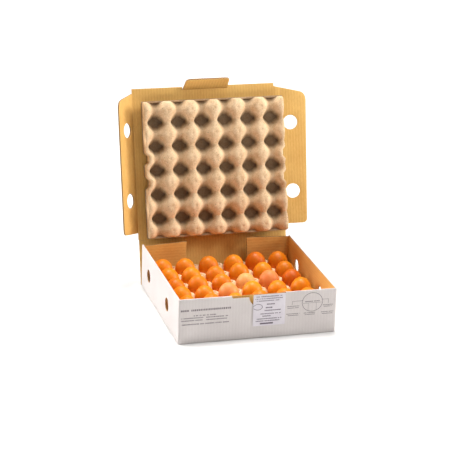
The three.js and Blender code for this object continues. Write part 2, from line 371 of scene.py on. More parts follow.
def prism(bm, near, far):  # a closed body between two equal outlines, in millimetres
    first, second = [[bm.verts.new(Vector(p) * mm) for p in outline] for outline in (near, far)]
    for i in range(len(near)):
        bm.faces.new([first[i], first[i - 1], second[i - 1], second[i]])
    bm.faces.new(first)
    bm.faces.new(second[::-1])


# boards cut to an outline
def ring(x, y, radius, count=44):  # a round hole, clockwise
    turns = [-2 * math.pi * k / count for k in range(count)]
    return [(x + radius * math.cos(t), y + radius * math.sin(t)) for t in turns]


def corner(before, at, after, count=7):  # a rounded corner of an outline
    made = []
    for k in range(count + 1):
        t = k / count
        shares = (1 - t) ** 2, 2 * t * (1 - t), t * t
        made.append(tuple(sum(w * p[i] for w, p in zip(shares, (before, at, after))) for i in (0, 1)))
    return made


def sides(loop):
    return zip(loop, [*loop[1:], loop[0]])


def splitAt(loop, lines):  # adds a corner where an edge passes one of the lines
    made = []
    for start, end in sides(loop):
        made.append(start)
        low, high = sorted((start[0], end[0]))
        crossed = sorted(line for line in lines if low + 1e-6 < line < high - 1e-6)
        if end[0] < start[0]:
            crossed.reverse()
        for line in crossed:
            share = (line - start[0]) / (end[0] - start[0])
            made.append((line, start[1] + share * (end[1] - start[1])))
    return made


def drawIn(loop, amounts):  # moves the corners of a loop into the board
    made = []
    for i, (x, y) in enumerate(loop):
        before = Vector(loop[i - 1])
        after = Vector(loop[(i + 1) % len(loop)])
        here = Vector((x, y))
        first = (here - before).normalized()
        second = (after - here).normalized()
        normal = Vector((-first.y - second.y, first.x + second.x))
        normal /= max(0.5, 1 + first.dot(second))
        made.append((x + normal.x * amounts[i], y + normal.y * amounts[i]))
    return made


def nearLoops(point, loops, reach):
    for loop in loops:
        for start, end in sides(loop):
            start, side = Vector(start), Vector(end) - Vector(start)
            share = max(0, min(1, (point - start).dot(side) / max(1e-9, side.length_squared)))
            if (point - start - side * share).length < reach:
                return True
    return False


def isInside(point, loop):
    inside = False
    for (x0, y0), (x1, y1) in sides(loop):
        if (y0 > point.y) != (y1 > point.y) and point.x < x0 + (x1 - x0) * (point.y - y0) / (y1 - y0):
            inside = not inside
    return inside


boardLook = {
    "cutRim": (0.35, 0.35),  # how far a plain cut is rounded at its inner and outer edge
    "meshStep": 16.0,
    "clearOfLines": 1.5,
    "clearOfRims": 0.35,  # as a share of the step
}


def fillFace(loops, lines, step):  # triangles between the outline and the holes
    points, edges, faces = [], [], []
    for loop in loops:
        faces.append(list(range(len(points), len(points) + len(loop))))
        points += [Vector(p) for p in loop]
    rimCount = len(points)
    for line in lines:
        met = sorted((p.y, i) for i, p in enumerate(points[:rimCount]) if abs(p.x - line) < 1e-3)
        if len(met) > 1:
            edges.append((met[0][1], met[1][1]))
    lowX, highX = min(p.x for p in points), max(p.x for p in points)
    lowY, highY = min(p.y for p in points), max(p.y for p in points)
    countX, countY = int((highX - lowX) / step), int((highY - lowY) / step)
    for i in range(1, countX):
        for j in range(1, countY):
            spot = Vector((lowX + (highX - lowX) * i / countX, lowY + (highY - lowY) * j / countY))
            onLine = any(abs(spot.x - line) < boardLook["clearOfLines"] for line in lines)
            if not onLine and not nearLoops(spot, loops, step * boardLook["clearOfRims"]):
                points.append(spot)
    done = delaunay_2d_cdt(points, edges, faces, 1, 1e-5)
    triangles = []
    for triangle in done[2]:
        middle = sum((done[0][i] for i in triangle), Vector((0, 0))) / 3
        if not any(isInside(middle, hole) for hole in loops[1:]):
            triangles.append(triangle)
    return rimCount, done[0], triangles, done[3]


# place: from the flat sheet to the box; lines: where it bends; rim: how far its two edges are rounded there;
# rimFinish: 0 kraft, 1 white or 2 cut edge; turned: where the flutes run level
def boardMesh(name, outline, holes, place, lines=(), step=boardLook["meshStep"],
              rim=lambda a, b: boardLook["cutRim"], rimFinish=lambda a, b: 2, turned=lambda a, b: False,
              thick=boardThick):
    loops = [splitAt(outline, lines), *holes]
    rims = [[rim(a, b) for a, b in loop] for loop in loops]
    bm = bmesh.new()
    flat = bm.verts.layers.float_vector.new("flat")

    def addVert(a, b, d):
        vert = bm.verts.new(place(a, b, d))
        vert[flat] = (a, b, d)
        return vert

    faceLoops = []
    for side in (0, 1):  # the inner face, then the outer one
        drawn = [drawIn(loop, [r[side] for r in rims[n]]) for n, loop in enumerate(loops)]
        rimCount, points, triangles, origins = fillFace(drawn, lines, step)
        verts, onRim = [], [None] * rimCount
        for point, origin in zip(points, origins):
            vert = addVert(point.x, point.y, thick * side)
            verts.append(vert)
            for index in origin:
                if index < rimCount:
                    onRim[index] = vert
        for triangle in triangles:
            bm.faces.new([verts[i] for i in triangle]).material_index = side
        rimVerts = iter(onRim)
        faceLoops.append([[next(rimVerts) for spot in loop] for loop in drawn])
    steps = [(math.sin(t), math.cos(t)) for t in (math.pi / 6, math.pi / 3, math.pi / 2)]
    for n, loop in enumerate(loops):
        levels = [faceLoops[0][n]]
        for side, order in ((0, steps), (1, reversed(steps))):
            for sine, cosine in order:
                drawn = drawIn(loop, [r[side] * (1 - sine) for r in rims[n]])
                sunk = [r[side] * (1 - cosine) for r in rims[n]]
                levels.append([addVert(a, b, thick - d if side else d) for (a, b), d in zip(drawn, sunk)])
        levels.append(faceLoops[1][n])
        for lower, upper in zip(levels, levels[1:]):
            for i in range(len(loop)):
                quad = [lower[i - 1], lower[i], upper[i], upper[i - 1]]
                face = bm.faces.new(quad)
                middle = sum((v[flat] for v in quad), Vector()) / 4
                face.material_index = rimFinish(middle.x, middle.y)
    bmesh.ops.delete(bm, geom=[v for v in bm.verts if not v.link_faces], context="VERTS")
    mend(bm)
    uv = bm.loops.layers.uv.new("sheet")
    for face in bm.faces:
        middle = sum((v[flat] for v in face.verts), Vector()) / len(face.verts)
        swap = turned(middle.x, middle.y)
        for loop in face.loops:
            a, b, d = loop.vert[flat]
            loop[uv].uv = (b * mm, a * mm) if swap else (a * mm, b * mm)
    depths = [v[flat].z / thick for v in bm.verts]
    mesh = toMesh(bm, name, kraft, white, edge)
    setPoints(mesh, "depth", depths)
    mesh.attributes.remove(mesh.attributes["flat"])
    smoothBends(mesh)
    return mesh


# the base: one strip of board bent round four corners
baseSize = {
    "halfWidth": 157.0,
    "front": -156.0,
    "rear": 152.6,
    "tall": 91.0,
    "bendRadius": 3.4,
    "flapReach": 93.0,
    "flapLow": 3.6,
    "flapAtFold": 87.0,
    "flapAtEnd": 90.7,
    "ventY": (-63.0, 89.0),
    "ventZ": 45.0,
    "ventRadius": 13.0,
    "recessHalf": 51.0,
    "recessDeep": 4.5,
    "recessSlope": 2.0,
    "thumbRadius": 19.0,
    "footRounding": 2.4,
    "topRounding": 1.3,
    "heel": ((152.4, 0.1), (154.6, 0.15), (155.3, 0.7), (155.3, 2.2), (154.6, 2.9), (152.4, 2.95)),
    "linerThick": 0.12,
}


def buildWalls():
    size = baseSize
    radius, tall, half, rear, front = (size[k] for k in ("bendRadius", "tall", "halfWidth", "rear", "front"))
    bend = radius * math.pi / 2
    flapLong = size["flapReach"] - radius
    wallLong = rear - front - 2 * radius
    frontLong = 2 * half - 2 * radius
    parts = [flapLong, bend, wallLong, bend, frontLong, bend, wallLong, bend, flapLong]
    marks = [0.0]
    for length in parts:
        marks.append(marks[-1] + length)
    start = Vector((size["flapReach"] - half, rear))

    def follow(a):  # the point on the outer face, and the way into the box
        spot, way = start.copy(), Vector((-1, 0))
        for k, length in enumerate(parts):
            inwards = Vector((-way.y, way.x))
            passed = a - marks[k]
            if k % 2 == 0:
                if passed <= length or k == len(parts) - 1:
                    return spot + way * passed, inwards
                spot = spot + way * length
            else:
                centre = spot + inwards * radius
                arm = Matrix.Rotation(min(passed / radius, math.pi / 2), 2) @ -inwards
                spot = centre + arm * radius
                if passed <= length:
                    return spot, -arm
                way = Vector((-way.y, way.x))

    def place(a, b, d):
        spot, inwards = follow(a)
        spot = spot + inwards * (boardThick - d)
        return Vector((spot.x, spot.y, b)) * mm

    bends = [marks[k] + bend * step / 5 for k in (1, 3, 5, 7) for step in range(6)]
    thumb, reach, slope = size["thumbRadius"], size["recessHalf"], size["recessSlope"]
    atFold, atEnd, flapLow = size["flapAtFold"], size["flapAtEnd"], size["flapLow"]
    low = tall - size["recessDeep"]
    middle = marks[4] + half - radius  # where x is 0 on the front
    end, foldA, foldB = marks[9], marks[1], marks[8]
    outline = [(3, flapLow), (foldA, flapLow), (foldA, 0), (foldB, 0), (foldB, flapLow), (end - 3, flapLow)]
    outline += [(end, atEnd), (foldB, atFold), (marks[7], atFold), (marks[7], tall)]
    outline += [(middle + reach + slope, tall), (middle + reach, low)]
    for k in range(25):
        turn = math.pi * k / 24
        outline.append((middle + thumb * math.cos(turn), low - thumb * math.sin(turn)))
    outline += [(middle - reach, low), (middle - reach - slope, tall)]
    outline += [(marks[2], tall), (marks[2], atFold), (foldA, atFold), (0, atEnd)]
    holes = []
    for y in size["ventY"]:
        for a in (marks[2] + rear - radius - y, marks[6] + y - front - radius):
            holes.append(ring(a, size["ventZ"], size["ventRadius"]))

    def inRecess(a, b):
        return abs(a - middle) < reach + slope + 0.5 and b < tall - 0.05

    def rim(a, b):
        if foldA + 0.5 < a < foldB - 0.5 and b < 1:
            return 0.2, size["footRounding"]
        if b > tall - 0.1 and not inRecess(a, b):
            return size["topRounding"], size["topRounding"]
        return boardLook["cutRim"]

    def rimFinish(a, b):
        onWalls = marks[2] < a < marks[7]
        return 1 if onWalls and (b < 3 or (b > tall - 2.5 and not inRecess(a, b - 0.2))) else 2

    def turned(a, b):  # the flutes lie level on the side walls and flaps, and upright on the front
        return not marks[3] + bend / 2 < a < marks[6] - bend / 2

    mesh = boardMesh("boxWalls", outline, holes, place, bends, rim=rim, rimFinish=rimFinish, turned=turned)
    addPiece("boxWalls", mesh, "base", ["box_base"])


def buildFloor():
    size = baseSize
    inner = size["halfWidth"] - boardThick
    front, rear, tall, thick = size["front"] + boardThick, size["rear"], size["tall"], size["linerThick"]
    outline = [(-inner, front), (inner, front), (inner, rear), (-inner, rear)]
    mesh = boardMesh("boxFloor", outline, [], lambda a, b, d: Vector((a, b, boardThick - d)) * mm,
                     rim=lambda a, b: (0.1, 0.1))
    addPiece("boxFloor", mesh, "base")

    bm = bmesh.new()
    prism(bm, *([(x, y, z) for y, z in size["heel"]] for x in (-inner, inner)))
    mend(bm)
    mesh = toMesh(bm, "floorHeel", kraft, white)
    for face in mesh.polygons:
        face.material_index = 0 if face.center.z > boardThick * mm / 2 else 1
    laySheet(mesh, lambda spot: (spot.x, spot.y))
    addPiece("floorHeel", mesh, "base")

    outline = [(1 - inner, 3.3), (inner - 1, 3.3), (inner - 1, tall - 0.9), (1 - inner, tall - 0.9)]
    mesh = boardMesh("frontLiner", outline, [], lambda a, b, d: Vector((a, front + thick - d, b)) * mm,
                     rim=lambda a, b: (0.05, 0.01), rimFinish=lambda a, b: 0, thick=thick)
    mesh.materials[1] = kraft
    addPiece("frontLiner", mesh, "base")


buildWalls()
buildFloor()
print("base built")

# back wall, lid, tuck tab and flaps
lidSize = {
    "left": 158.0,
    "right": 157.6,
    "long": 309.0,
    "crease": 0.3,
    "cornerCut": 14.6,
    "flapLow": 15.0,
    "flapHigh": 299.0,
    "flapSlope": 0.234,
    "flapCorners": (10.0, 17.0),
    "ventRadius": 15.0,
    "ventUp": (83.0, 226.0),
}
tabSize = {"crease": 303.0, "middle": -4.0, "root": 47.0, "tip": 46.0, "long": 37.0, "corner": 11.0,
           "fold": 58.0, "bow": 1.1, "gap": 0.6}
rippleLong = 70.0
leftFlap = {"side": -1, "wideHigh": 58.0, "wideLow": 58.0, "ventOut": 26.0, "fold": 50.0, "ripple": 0.5}
rightFlap = {"side": 1, "wideHigh": 53.0, "wideLow": 46.5, "ventOut": 18.5, "fold": 4.5, "ripple": 0.5}


def buildBackWall():
    half, top = baseSize["halfWidth"], backTall - lidSize["crease"]
    outline = [(-half, 0), (half, 0), (half, top), (-half, top)]
    mesh = boardMesh("backBoard", outline, [], lambda a, b, d: onBackWall(a, b, -d))
    addPiece("backBoard", mesh, "back_wall", ["back_wall"])


def buildLidPanel():
    size = lidSize
    left, right, long, foot = size["left"], size["right"], size["long"], size["crease"]
    tabFoot, half = tabSize["crease"], tabSize["root"] + tabSize["gap"]
    slotLeft, slotRight = tabSize["middle"] - half, tabSize["middle"] + half
    cut = right - size["cornerCut"]
    shoulder = size["flapHigh"] + size["flapSlope"] * size["cornerCut"]
    outline = [(-left, foot), (right, foot), (right, size["flapHigh"]), (cut, shoulder), (cut, long)]
    outline += [(slotRight, long), (slotRight, tabFoot), (slotLeft, tabFoot), (slotLeft, long), (-left, long)]
    mesh = boardMesh("lidBoard", outline, [], lambda a, b, d: onLid(a, b, -d))
    addPiece("lidBoard", mesh, "lid", ["lid_panel"])


def buildTab():
    turn = math.radians(tabSize["fold"])
    root, tip, long, bend = (tabSize[k] for k in ("root", "tip", "long", "corner"))
    outline = [(-root, lidSize["crease"]), (root, lidSize["crease"])]
    outline += corner((tip, long - bend), (tip, long), (tip - bend, long))
    outline += corner((bend - tip, long), (-tip, long), (-tip, long - bend))

    def place(a, b, d):
        bow = d - tabSize["bow"] * (1 - (a / root) ** 2) * (b / long) ** 2
        up = tabSize["crease"] + b * math.cos(turn) + bow * math.sin(turn)
        return onLid(a + tabSize["middle"], up, b * math.sin(turn) - bow * math.cos(turn))

    mesh = boardMesh("tuckTab", outline, [], place, step=8.0)
    addPiece("tuckTab", mesh, "lid_tab", ["lid_tab"])


def hingeX(flap):
    return -lidSize["left"] if flap["side"] < 0 else lidSize["right"]


def buildFlap(name, flap, body):
    size, side = lidSize, flap["side"]
    turn = math.radians(flap["fold"])
    high, low, foot, head = flap["wideHigh"], flap["wideLow"], size["flapLow"], size["flapHigh"]
    lowCorner, highCorner = size["flapCorners"]
    top, bendStart = head - size["flapSlope"] * high, high - 0.8 * highCorner
    topAtBend = head - size["flapSlope"] * bendStart
    outline = [(size["crease"], foot)]
    outline += corner((low - lowCorner, foot), (low, foot), (low, foot + lowCorner))
    outline += corner((high, top - highCorner), (high, top), (bendStart, topAtBend))
    outline.append((size["crease"], head))
    holes = [ring(flap["ventOut"], up, size["ventRadius"]) for up in size["ventUp"]]

    def place(a, b, d):  # board is never quite flat
        wave = noise.noise(Vector(((a + 200 * side) / rippleLong, b / rippleLong, 3.1)))
        d -= wave * flap["ripple"] * min(1, a / 20)
        x = hingeX(flap) + side * (a * math.cos(turn) + d * math.sin(turn))
        return onLid(x, b, a * math.sin(turn) - d * math.cos(turn))

    mesh = boardMesh(name, outline, holes, place, step=12.0)
    addPiece(name, mesh, body, [body])


buildBackWall()
buildLidPanel()
buildTab()
buildFlap("leftFlap", leftFlap, "lid_flap_left")
buildFlap("rightFlap", rightFlap, "lid_flap_right")
print("lid built")

# the bends at the creases
creaseLook = {"innerRadius": 0.12, "outerRadius": 3.04, "overlap": 1.2, "sink": 0.05, "steps": 10}


# start: one end of the crease; firstWay, secondWay: from the crease into each board, at rest
def buildCrease(name, start, axis, length, firstWay, secondWay):
    look = creaseLook
    firstOut, secondOut = firstWay.cross(axis), secondWay.cross(axis)
    if firstOut.dot(offLid) > 0:
        firstOut = -firstOut
    if secondOut.dot(firstOut) < 0:
        secondOut = -secondOut
    slit, steps = lidSize["crease"], look["steps"]
    reach, flat = slit + look["overlap"], boardThick - look["sink"]
    outer, inner = [], []

    def addStep(way, spot, depth):
        outer.append(way * look["outerRadius"] + spot)
        inner.append(way * depth + spot)

    addStep(firstOut, firstWay * reach, flat)
    addStep(firstOut, firstWay * slit, flat)
    for k in range(steps + 1):
        t = k / steps
        way = (firstOut * (1 - t) + secondOut * t).normalized()
        spot = firstWay * slit * max(0, 1 - 2 * t) + secondWay * slit * max(0, 2 * t - 1)
        addStep(way, spot, look["innerRadius"])
    addStep(secondOut, secondWay * slit, flat)
    addStep(secondOut, secondWay * reach, flat)
    bm = bmesh.new()
    count, last = max(2, int(length / 20)), len(outer) - 1
    rows = []
    for k in range(count + 1):
        centre = start + axis * length * k / count
        rows.append([[bm.verts.new((centre + p) * mm) for p in side] for side in (outer, inner)])
    for near, far in zip(rows, rows[1:]):
        for side in (0, 1):
            for i in range(last):
                face = bm.faces.new([near[side][i], near[side][i + 1], far[side][i + 1], far[side][i]])
                face.material_index = side
        for i in (0, last):
            bm.faces.new([near[0][i], near[1][i], far[1][i], far[0][i]])
    for row in (rows[0], rows[-1]):
        for i in range(last):
            bm.faces.new([row[0][i], row[0][i + 1], row[1][i + 1], row[1][i]]).material_index = 1
    mend(bm)
    mesh = toMesh(bm, name, white, kraft)
    laySheet(mesh, lambda spot: (spot.x + spot.y, spot.dot(axis)))
    smoothBends(mesh)
    piece = newObject(name, mesh)
    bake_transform(piece)


def buildCreases():
    half, root = baseSize["halfWidth"], tabSize["root"]
    buildCrease("lidCrease", onLid(-half, 0, 0) / mm, acrossX, 2 * half, -upLid, upLid)
    turn = math.radians(tabSize["fold"])
    intoTab = upLid * math.cos(turn) + offLid * math.sin(turn)
    start = onLid(tabSize["middle"] - root, tabSize["crease"], 0) / mm
    buildCrease("tabCrease", start, acrossX, 2 * root, -upLid, intoTab)
    low, high = lidSize["flapLow"], lidSize["flapHigh"]
    creases = ("leftCrease", leftFlap, "lid_flap_left"), ("rightCrease", rightFlap, "lid_flap_right")
    for name, flap, body in creases:
        turn = math.radians(flap["fold"])
        outwards = acrossX * flap["side"]
        intoFlap = outwards * math.cos(turn) + offLid * math.sin(turn)
        start = onLid(hingeX(flap), low, 0) / mm
        buildCrease(name, start, upLid, high - low, -outwards, intoFlap)


buildCreases()
print("creases built")


# shapes that follow a rule, made with geometry nodes
def newTree(name, sockets):
    tree = bpy.data.node_groups.new(name, "GeometryNodeTree")
    tree.interface.new_socket("Geometry", in_out="OUTPUT", socket_type="NodeSocketGeometry")
    kinds = {float: "NodeSocketFloat", int: "NodeSocketInt", type(None): "NodeSocketMaterial"}
    for label, value in sockets.items():
        made = tree.interface.new_socket(label, in_out="INPUT", socket_type=kinds[type(value)])
        if value is not None:
            made.default_value = value
    return tree, tree.nodes.new("NodeGroupInput").outputs, tree.nodes.new("NodeGroupOutput").inputs


def grow(tree, values):  # runs the tree with these inputs and keeps the plain mesh
    holder = newObject("holder", bpy.data.meshes.new("holder"))
    modifier = holder.modifiers.new("shape", "NODES")
    modifier.node_group = tree
    for item in tree.interface.items_tree:
        if item.in_out == "INPUT" and item.name in values:
            modifier[item.identifier] = values[item.name]
    holder.update_tag()
    bpy.context.view_layer.update()
    mesh = bpy.data.meshes.new_from_object(holder.evaluated_get(bpy.context.evaluated_depsgraph_get()))
    holder.modifiers.clear()
    bpy.data.objects.remove(holder)
    return mesh


def setPosition(tree, geometry, x=0.0, y=0.0, z=0.0):
    spot = addNode(tree, "ShaderNodeCombineXYZ", {0: x, 1: y, 2: z}).outputs[0]
    return addNode(tree, "GeometryNodeSetPosition", {"Geometry": geometry, "Position": spot}).outputs[0]


def finishTree(tree, geometry, material, sink):
    realized = addNode(tree, "GeometryNodeRealizeInstances", {0: geometry}).outputs[0]
    made = addNode(tree, "GeometryNodeSetMaterial", {"Geometry": realized, "Material": material})
    tree.links.new(made.outputs[0], sink[0])


def trayTree():  # a grid raised to posts, ridges and cells, then given its thickness, in millimetres
    tree, given, sink = newTree("pulpTray", {
        "Half Width": 149.0, "Half Depth": 141.0, "Pitch": 48.8, "Side Limit": 146.4, "Shift": 0.0,
        "Shoulder": 0.0, "Column Foot": 24.4, "Post Foot": 24.4, "Row Foot": 24.4, "Row Power": 2.0,
        "Cone Foot": 8.0, "Cone Base": -4.0, "Cone Power": 1.15, "Post": 41.0, "Saddle Column": 25.0,
        "Saddle Row": 17.0, "Cell": -4.0, "Lip": 22.0, "Side Lip": 18.0, "Dimple": 3.0, "Dimple Radius": 3.0,
        "Dimple Slope": 1.2, "Flat Top": 1.6, "Softness": 3.0, "Notch": 6.5, "Notch Reach": 24.0,
        "Thick": 2.0, "Rough": 0.5, "Across": 180, "Down": 168, "Material": None})
    sizes = {"Size X": times(given["Half Width"], 2.0), "Size Y": times(given["Half Depth"], 2.0),
             "Vertices X": given["Across"], "Vertices Y": given["Down"]}
    grid = addNode(tree, "GeometryNodeMeshGrid", sizes).outputs["Mesh"]
    position = addNode(tree, "GeometryNodeInputPosition").outputs[0]
    x, y, _ = addNode(tree, "ShaderNodeSeparateXYZ", {0: position}).outputs
    halfPitch = over(given["Pitch"], 2.0)
    shiftedY = minus(y, given["Shift"])
    sideX = absolute(x)
    postX = calc("PINGPONG", smaller(sideX, given["Side Limit"]), halfPitch)
    postY = calc("PINGPONG", minus(shiftedY, halfPitch), halfPitch)

    def between(low, high, share):
        return timesAdd(minus(high, low), share, low)

    # the ridges along the rows and columns
    columnFoot = between(given["Post Foot"], given["Column Foot"], ramp(postY, 4.0, 22.0))
    across = ramp(postX, given["Shoulder"], columnFoot, 1.0, 0.0)
    fall = smaller(over(postY, given["Row Foot"]), 1.0)
    down = minus(1.0, calc("POWER", fall, given["Row Power"]))
    valley = between(given["Cell"], given["Saddle Column"], across)
    crest = between(given["Saddle Row"], given["Post"], across)
    height = calc("SMOOTH_MAX", between(valley, crest, down), 0.0, given["Softness"])

    # the posts with the hollows in their tips
    reach = calc("SQRT", plus(times(postX, postX), times(postY, postY)))
    share = calc("POWER", smaller(over(reach, given["Cone Foot"]), 1.0), given["Cone Power"])
    cone = between(plus(given["Post"], 2.0), given["Cone Base"], share)
    height = calc("SMOOTH_MAX", height, cone, 2.5)
    height = calc("SMOOTH_MIN", height, minus(given["Post"], given["Flat Top"]), given["Softness"])
    dimpleEdge = plus(given["Dimple Radius"], given["Dimple Slope"])
    dimple = ramp(reach, given["Dimple Radius"], dimpleEdge, 1.0, 0.0)
    height = minus(height, times(dimple, given["Dimple"]))

    # the lips round the edge
    endX, endY = minus(given["Half Width"], sideX), minus(given["Half Depth"], absolute(y))
    height = between(height, given["Lip"], ramp(endY, 2.6, 4.2, 1.0, 0.0))
    onSide = times(ramp(endX, 1.6, 3.4, 1.0, 0.0), ramp(endY, 1.0, 4.0))
    height = between(height, given["Side Lip"], onSide)

    def wobble(scale, seed):
        shifted = addNode(tree, "ShaderNodeVectorMath", {0: position, 1: (seed, seed, seed)})
        inputs = {"Vector": shifted.outputs[0], "Scale": scale, "Detail": 2.0}
        return minus(addNode(tree, "ShaderNodeTexNoise", inputs).outputs[0], 0.5)

    rough = timesAdd(wobble(0.22, 31.0), 0.45, wobble(0.045, 7.0))
    height = larger(timesAdd(times(rough, 2.0), given["Rough"], height), 0.0)

    # two notches in each side
    fromNotch = absolute(minus(absolute(shiftedY), halfPitch))
    notch = times(ramp(fromNotch, 5.0, 14.0, 1.0, 0.0), given["Notch"])
    drawn = times(notch, ramp(endX, 0.0, given["Notch Reach"], 1.0, 0.0))
    shaped = setPosition(tree, grid, minus(x, times(drawn, calc("SIGN", x))), y, height)
    inputs = {"Mesh": shaped, "Offset": (0, 0, 1), "Offset Scale": given["Thick"], "Individual": False}
    upper = addNode(tree, "GeometryNodeExtrudeMesh", inputs).outputs["Mesh"]
    under = addNode(tree, "GeometryNodeFlipFaces", {"Mesh": shaped}).outputs[0]
    both = addNode(tree, "GeometryNodeJoinGeometry", {0: under})
    tree.links.new(upper, both.inputs[0])
    closed = addNode(tree, "GeometryNodeMergeByDistance", {"Geometry": both.outputs[0], "Distance": 0.002})
    finishTree(tree, closed.outputs[0], given["Material"], sink)
    return tree


# where a tray differs from the tree's own values
lowerTray = {"Half Depth": 141.2, "Cone Foot": 12.0, "Cone Base": 20.0, "Cone Power": 4.0, "Dimple": 10.0}
upperTray = {"Half Depth": 139.5, "Shift": -2.0, "Shoulder": 3.0, "Column Foot": 13.0, "Post Foot": 23.0,
             "Row Foot": 24.0, "Row Power": 1.65, "Cell": -2.0, "Saddle Column": 31.0, "Saddle Row": 25.0,
             "Cone Foot": 24.0, "Cone Base": 14.0, "Cone Power": 1.3, "Dimple": 1.3, "Dimple Radius": 1.5}
lowerTrayAt = Vector((-0.6, 8, 3.4))  # millimetres in the box
upperTrayAt = Vector((4.5, 143.5, 0.4))  # and on the lid


def buildTray(tree, name, values, place, body, node):
    mesh = grow(tree, {**values, "Material": pulp})
    rises = [v.co.z * mm for v in mesh.vertices]
    for vertex in mesh.vertices:
        vertex.co = place(vertex.co)
    setPoints(mesh, "rise", rises)
    smoothBends(mesh, 60)
    return addPiece(name, mesh, body, [node])


trays = trayTree()
buildTray(trays, "lowerPulpTray", lowerTray, lambda p: (p + lowerTrayAt) * mm, "base", "tray_lower")
upperPulp = buildTray(trays, "upperPulpTray", upperTray, lambda p: onLid(*(p + upperTrayAt)),
                      "lid", "tray_upper")
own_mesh(upperPulp)
print("trays built")


def eggTree():
    sockets = {"Tall": 56.5, "Radius": 21.8, "Blunt": 0.11, "Sides": 40, "Rings": 26, "Material": None}
    tree, given, sink = newTree("hensEgg", sockets)
    inputs = {"Segments": given["Sides"], "Rings": given["Rings"], "Radius": 1.0}
    ball = addNode(tree, "GeometryNodeMeshUVSphere", inputs).outputs["Mesh"]
    position = addNode(tree, "GeometryNodeInputPosition").outputs[0]
    x, y, z = addNode(tree, "ShaderNodeSeparateXYZ", {0: position}).outputs
    wide = times(timesAdd(z, given["Blunt"], 1.0), given["Radius"])
    shaped = setPosition(tree, ball, times(x, wide), times(y, wide), times(z, over(given["Tall"], 2.0)))
    finishTree(tree, shaped, given["Material"], sink)
    return tree


# leans and tones have one row of eggs per line, from the back: how far each top leans to the right, in
# millimetres, and how deep its colour is
eggLook = {
    "tall": 56.5,
    "radius": 20.7,
    "blunt": 0.05,
    "nod": 0.05,
    "pale": ("egg_r3c4", "egg_r4c3"),
    "shells": {"egg_r3c4": paleShell, "egg_r4c3": rosyShell, "egg_r3c5": rosyShell},
    "backLifts": (2, 2, 0, 2, 0, 0),
    "leans": (
        (-3, -6, -5, 1, -2, -4),
        (-1, -5, -2.5, -2, 0, -4),
        (1, -3, -3, -2, -2, -4),
        (0.5, -2, -2, -2.5, 1.5, 1),
        (0, -1, -2, -1, 1, 0),
    ),
    "tones": (
        (0.35, 0.35, 0.45, 0.35, 0.66, 0.5),
        (0.3, 0.25, 0.4, 0.35, 0.2, 0.45),
        (0.5, 0.4, 0.45, 0.5, 0.5, 0.68),
        (0.25, 0.35, 0.2, 0.0, 0.25, 0.3),
        (0.35, 0.45, 0.25, 0.45, 0.35, 0.3),
    ),
}


def buildEgg(tree, row, column):
    look, node = eggLook, f"egg_r{row + 1}c{column + 1}"
    low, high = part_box(node)
    tall = (high.z - low.z) / mm + (look["backLifts"][column] if row == 0 else 0)
    values = {"Tall": tall, "Radius": look["radius"] * tall / look["tall"], "Blunt": look["blunt"]}
    mesh = grow(tree, {**values, "Material": look["shells"].get(node, brownShell)})
    sideways = math.atan(look["leans"][row][column] / tall)
    forwards = look["nod"] * noise.noise(Vector((row * 1.73, column * 2.31, 0.4)))
    turned = Matrix.Rotation(sideways, 4, "Y") @ Matrix.Rotation(forwards, 4, "X")
    foot = Matrix.Translation(((low.x + high.x) / 2, (low.y + high.y) / 2, low.z))
    mesh.transform(foot @ Matrix.Scale(mm, 4) @ turned @ Matrix.Translation((0, 0, tall / 2)))
    setPoints(mesh, "tone", [look["tones"][row][column]] * len(mesh.vertices))
    smoothBends(mesh)
    slotName = "eggshell_pale" if node in look["pale"] else "eggshell"
    addPiece(f"egg{row + 1}{column + 1}", mesh, "base", [node])


eggs = eggTree()
for row in range(5):
    for column in range(6):
        buildEgg(eggs, row, column)
print("eggs built")


# the seal and the print on the front wall
def barTree():  # a row of small bars with a few left out, like a line of fine print without letters
    sockets = {"Length": 40.0, "Tall": 2.0, "Bars": 5, "Gap": 0.5, "Thick": 0.06, "Left Out": 0.1,
               "Narrowest": 0.6, "Widest": 1.3, "Seed": 1, "Material": None}
    tree, given, sink = newTree("printedBars", sockets)

    def randomValue(low, high, seed):
        return addNode(tree, "FunctionNodeRandomValue", {2: low, 3: high, "Seed": seed}).outputs[1]

    points = addNode(tree, "GeometryNodePoints", {"Count": given["Bars"]}).outputs[0]
    weight = randomValue(given["Narrowest"], given["Widest"], given["Seed"])
    adding = addNode(tree, "GeometryNodeAccumulateField", {0: weight}).outputs
    usable = minus(given["Length"], times(minus(given["Bars"], 1.0), given["Gap"]))
    unit = over(usable, adding["Total"])
    index = addNode(tree, "GeometryNodeInputIndex").outputs[0]
    before = timesAdd(adding["Trailing"], unit, times(index, given["Gap"]))
    wide = times(weight, unit)
    placed = setPosition(tree, points, timesAdd(wide, 0.5, before))
    cube = addNode(tree, "GeometryNodeMeshCube", {"Size": (1, 1, 1)}).outputs["Mesh"]
    scale = addNode(tree, "ShaderNodeCombineXYZ", {0: wide, 1: given["Thick"], 2: given["Tall"]}).outputs[0]
    shown = calc("GREATER_THAN", randomValue(0.0, 1.0, plus(given["Seed"], 50.0)), given["Left Out"])
    bars = addNode(tree, "GeometryNodeInstanceOnPoints", {
        "Points": placed, "Selection": shown, "Instance": cube, "Scale": scale})
    finishTree(tree, bars.outputs[0], given["Material"], sink)
    return tree


def flatBar(bm, x0, x1, z0, z1, y, thick):
    corners = [(x0, z0), (x1, z0), (x1, z1), (x0, z1)]
    prism(bm, *([(x, depth, z) for x, z in corners] for depth in (y - thick, y)))


